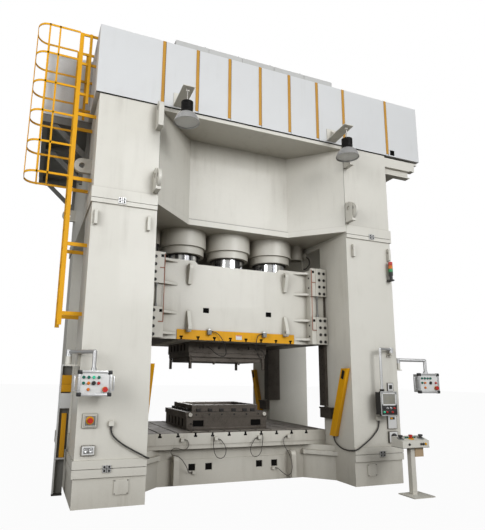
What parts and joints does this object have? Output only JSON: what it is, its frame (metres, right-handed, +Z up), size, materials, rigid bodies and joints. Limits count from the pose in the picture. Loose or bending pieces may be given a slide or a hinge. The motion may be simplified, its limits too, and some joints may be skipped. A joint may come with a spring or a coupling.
{
  "type": "h-frame hydraulic press",
  "caption": "Straight-sided hydraulic press with bolster, guided slide on rams, dies, caged ladder, hanging pendants, front panel and two-hand console.",
  "frame": {"origin": "centre of the bed's underside, on the floor midway between the four columns", "axes": "+Z up, +X to the operator's right, +Y away from the operator, into the press"},
  "size_m": [7.393, 5.005, 7.62],
  "materials": {
    "cream": "satin",
    "yellow": "satin",
    "steel": "machined, oiled",
    "dark_steel": "oiled",
    "chrome": "ground",
    "black_metal": "satin",
    "grey_metal": "satin",
    "copper": "tarnished",
    "aluminium": "brushed",
    "black_plastic": "moulded",
    "cream_plastic": "moulded",
    "red_plastic": "moulded",
    "green_plastic": "moulded",
    "black_rubber": "matt"
  },
  "bodies": {
    "frame": {"bed": "cream", "left_upright": "cream", "right_upright": "cream", "crown": "cream", "joint_keys": "dark_steel", "tie_rod_nuts": "steel", "guide_rails": "dark_steel", "bolster": "steel", "lower_die": "steel", "main_cylinders": "cream", "return_cylinders": "cream", "platform": "cream", "cladding_panels": "cream", "cladding_strips": "yellow", "oil_tank": "cream", "side_wing": "cream", "wing_frame": "grey_metal", "ladder": "yellow", "ladder_cage": "yellow", "lamp_brackets": "cream", "signal_tower": "red_plastic", "light_curtains": "yellow", "wall_boxes": "cream_plastic", "arm_bases": "cream", "console_stand": "cream", "left_curtain_cable": "black_rubber", "right_curtain_cable": "black_rubber", "bed_left_cable": "black_rubber", "bed_right_cable": "black_rubber", "left_slot_cable": "black_rubber", "right_slot_cable": "black_rubber", "left_die_cable": "black_rubber", "return_hose": "black_rubber"},
    "ram_slide": {"slide": "cream", "slide_band": "yellow", "guide_shoes": "cream", "shoe_bolts": "black_metal", "grease_pipes": "copper", "upper_die": "dark_steel", "main_rams": "chrome", "return_rods": "chrome", "slide_left_cable": "black_rubber", "slide_right_cable": "black_rubber"},
    "left_lamp": {"left_lamp": "aluminium"},
    "right_lamp": {"right_lamp": "aluminium"},
    "wall_stop": {"wall_stop_button": "red_plastic"},
    "main_switch": {"main_switch_knob": "black_plastic"},
    "left_arm": {"left_arm": "cream"},
    "left_pendant": {"left_pendant": "aluminium"},
    "left_knob": {"left_pendant_knob": "black_plastic"},
    "left_stop": {"left_pendant_stop": "red_plastic"},
    "right_arm": {"right_arm": "cream"},
    "right_pendant": {"right_pendant": "aluminium"},
    "right_knob": {"right_pendant_knob": "black_plastic"},
    "right_stop": {"right_pendant_stop": "red_plastic"},
    "panel_arm": {"panel_arm": "cream"},
    "panel_box": {"panel_box": "black_metal"},
    "left_palm": {"left_palm_button": "green_plastic"},
    "right_palm": {"right_palm_button": "green_plastic"},
    "console_stop": {"console_stop": "red_plastic"}
  },
  "joints": [
    {"name": "slide_travel", "type": "slide", "parent": "frame", "child": "ram_slide", "axis": [0, 0, 1], "range_m": [-0.71, 0.15]},
    {"name": "left_lamp_swing", "type": "hinge", "parent": "frame", "child": "left_lamp", "pos_m": [-1.47, -2.41, 6.088], "axis": [1, 0, 0], "range_deg": [-8, 12]},
    {"name": "right_lamp_swing", "type": "hinge", "parent": "frame", "child": "right_lamp", "pos_m": [1.496, -2.41, 6.088], "axis": [1, 0, 0], "range_deg": [-8, 12]},
    {"name": "wall_stop_press", "type": "slide", "parent": "frame", "child": "wall_stop", "axis": [0, 1, 0], "range_m": [0, 0.006], "stiffness_N_per_m": 1500},
    {"name": "main_switch_turn", "type": "hinge", "parent": "frame", "child": "main_switch", "pos_m": [2.557, -1.966, 0.762], "axis": [0, 1, 0], "range_deg": [0, 90]},
    {"name": "left_arm_swing", "type": "hinge", "parent": "frame", "child": "left_arm", "pos_m": [-2.89, -1.78, 1.98], "axis": [0, 0, 1], "range_deg": [-60, 2]},
    {"name": "left_pendant_turn", "type": "hinge", "parent": "left_arm", "child": "left_pendant", "pos_m": [-2.59, -2.206, 1.822], "axis": [0, 0, 1], "range_deg": [-40, 30]},
    {"name": "left_knob_turn", "type": "hinge", "parent": "left_pendant", "child": "left_knob", "pos_m": [-2.59, -2.272, 1.625], "axis": [0, 1, 0], "range_deg": [-60, 60]},
    {"name": "left_stop_press", "type": "slide", "parent": "left_pendant", "child": "left_stop", "axis": [0, 1, 0], "range_m": [0, 0.006], "stiffness_N_per_m": 1200},
    {"name": "right_arm_swing", "type": "hinge", "parent": "frame", "child": "right_arm", "pos_m": [2.832, -1.85, 2.02], "axis": [0, 0, 1], "range_deg": [-60, 5]},
    {"name": "right_pendant_turn", "type": "hinge", "parent": "right_arm", "child": "right_pendant", "pos_m": [3.385, -1.936, 1.882], "axis": [0, 0, 1], "range_deg": [-40, 40]},
    {"name": "right_knob_turn", "type": "hinge", "parent": "right_pendant", "child": "right_knob", "pos_m": [3.42, -2, 1.68], "axis": [0, 1, 0], "range_deg": [-60, 60]},
    {"name": "right_stop_press", "type": "slide", "parent": "right_pendant", "child": "right_stop", "axis": [0, 1, 0], "range_m": [0, 0.006], "stiffness_N_per_m": 1200},
    {"name": "panel_arm_swing", "type": "hinge", "parent": "frame", "child": "panel_arm", "pos_m": [2.566, -2, 2.19], "axis": [0, 0, 1], "range_deg": [0, 70]},
    {"name": "panel_turn", "type": "hinge", "parent": "panel_arm", "child": "panel_box", "pos_m": [2.235, -2.105, 1.567], "axis": [0, 0, 1], "range_deg": [-20, 15]},
    {"name": "left_palm_press", "type": "slide", "parent": "frame", "child": "left_palm", "axis": [0, 0, -1], "range_m": [0, 0.008], "stiffness_N_per_m": 1500},
    {"name": "right_palm_press", "type": "slide", "parent": "frame", "child": "right_palm", "axis": [0, 0, -1], "range_m": [0, 0.008], "stiffness_N_per_m": 1500},
    {"name": "console_stop_press", "type": "slide", "parent": "frame", "child": "console_stop", "axis": [0, 0, -1], "range_m": [0, 0.006], "stiffness_N_per_m": 1500}
  ]
}
